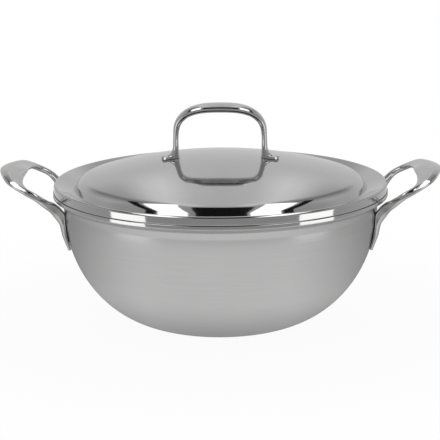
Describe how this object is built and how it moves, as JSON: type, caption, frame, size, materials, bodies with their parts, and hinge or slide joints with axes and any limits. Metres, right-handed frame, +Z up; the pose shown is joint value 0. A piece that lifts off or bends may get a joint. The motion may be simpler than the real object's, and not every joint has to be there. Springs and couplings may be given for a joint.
{
  "type": "saute pan with lid",
  "caption": "Bowl-shaped saute pan of clad steel with a flat base, a flared lip, cast loop side handles and a domed lift-off lid with an arched handle.",
  "frame": {"origin": "centre of the flat base, on the surface that the pan stands on", "axes": "+Z up; X runs through the loop handles and along the lid handle; -Y faces the viewer of the picture"},
  "size_m": [0.4022, 0.3048, 0.2019],
  "materials": {
    "satin_steel": "satin stainless steel",
    "polished_steel": "mirror-polished stainless steel",
    "aluminium": "plain rolled aluminium, hidden between the steel layers",
    "weld_steel": "bare spot weld, hidden under a foot"
  },
  "bodies": {
    "pan": {"pan_outer_skin": "satin_steel", "pan_core": "aluminium", "pan_inner_liner": "satin_steel", "right_handle": "polished_steel", "left_handle": "polished_steel", "right_handle_weld_front_lower": "weld_steel", "right_handle_weld_front_upper": "weld_steel", "right_handle_weld_rear_lower": "weld_steel", "right_handle_weld_rear_upper": "weld_steel", "left_handle_weld_front_lower": "weld_steel", "left_handle_weld_front_upper": "weld_steel", "left_handle_weld_rear_lower": "weld_steel", "left_handle_weld_rear_upper": "weld_steel"},
    "lid": {"lid_shell": "polished_steel", "lid_handle": "polished_steel", "lid_handle_weld_left_inner": "weld_steel", "lid_handle_weld_left_outer": "weld_steel", "lid_handle_weld_right_inner": "weld_steel", "lid_handle_weld_right_outer": "weld_steel"}
  },
  "joints": [
    {"name": "lid_lift", "type": "slide", "parent": "pan", "child": "lid", "axis": [0, 0, 1], "range_m": [0, 0.15]}
  ]
}
